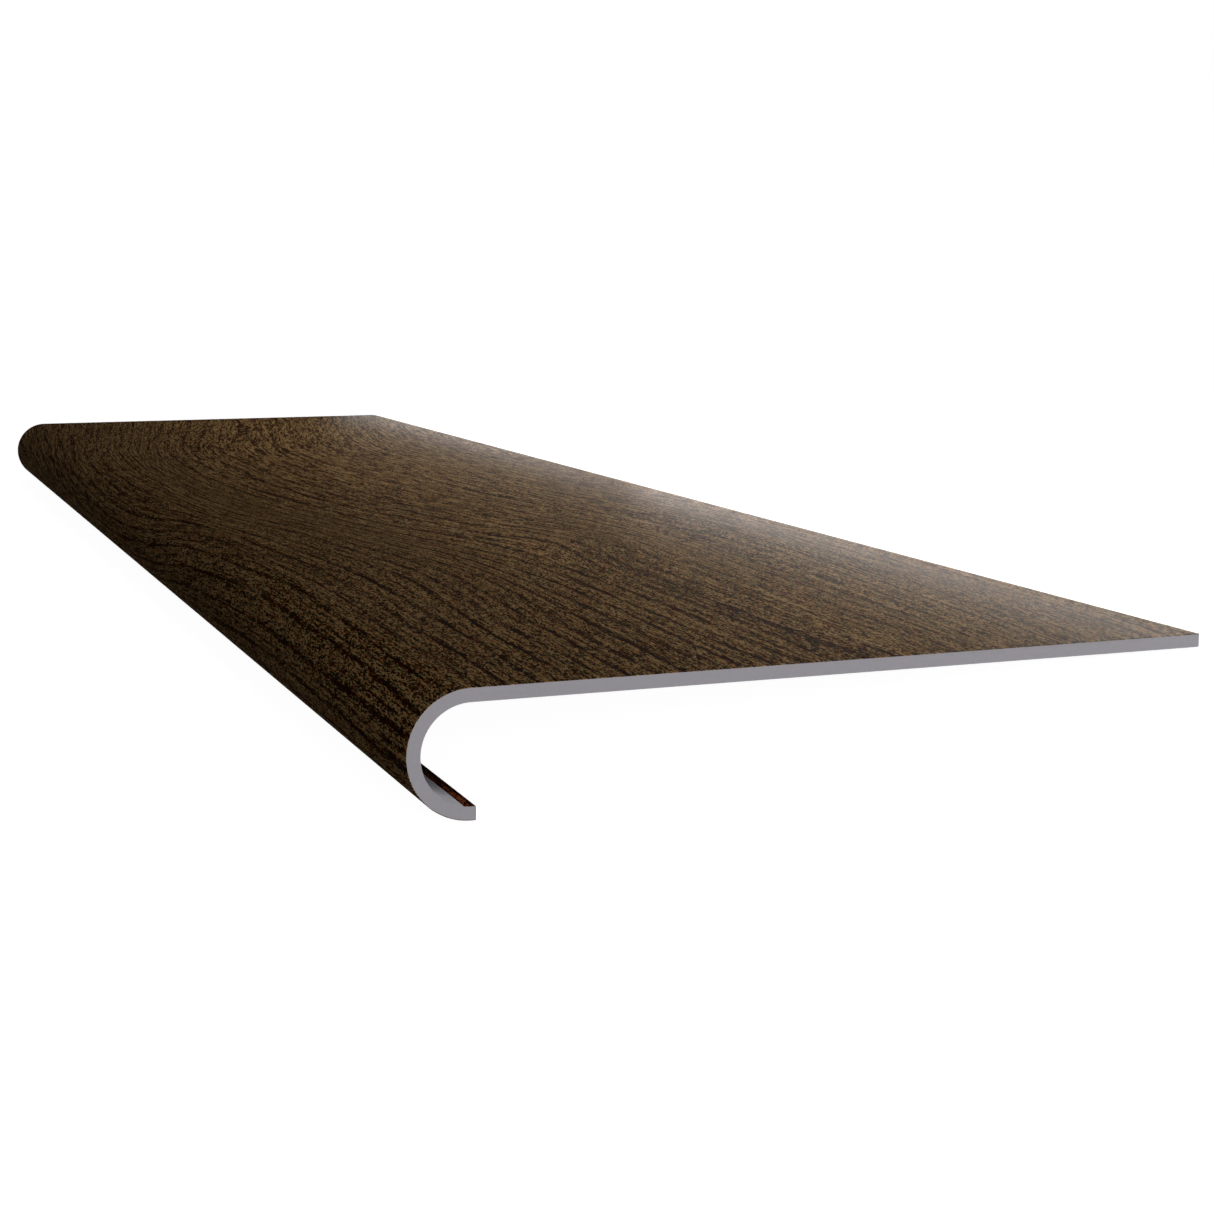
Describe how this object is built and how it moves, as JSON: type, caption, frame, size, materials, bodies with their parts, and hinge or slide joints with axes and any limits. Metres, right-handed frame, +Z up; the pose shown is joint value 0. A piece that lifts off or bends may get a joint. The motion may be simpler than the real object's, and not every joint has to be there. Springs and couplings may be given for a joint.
{
  "type": "retrofit stair tread",
  "caption": "Thin wood-look vinyl stair tread with a half-round nosing that hooks over the front edge of an old tread.",
  "frame": {"origin": "on the floor, in the middle of the tread's box in X and Y, as it lies unheld on the end of its lip and on its back edge", "axes": "+X along the length, -Y to the front where the nosing is, +Z up; the plate slopes down to the back by 8 degrees"},
  "size_m": [1.2, 0.3083, 0.0449],
  "materials": {
    "decor": "embossed dark oak-look film with a low satin sheen",
    "core": "matt grey rigid vinyl, sawn at the ends"
  },
  "bodies": {
    "root": {"stair_tread": "decor"}
  },
  "joints": []
}
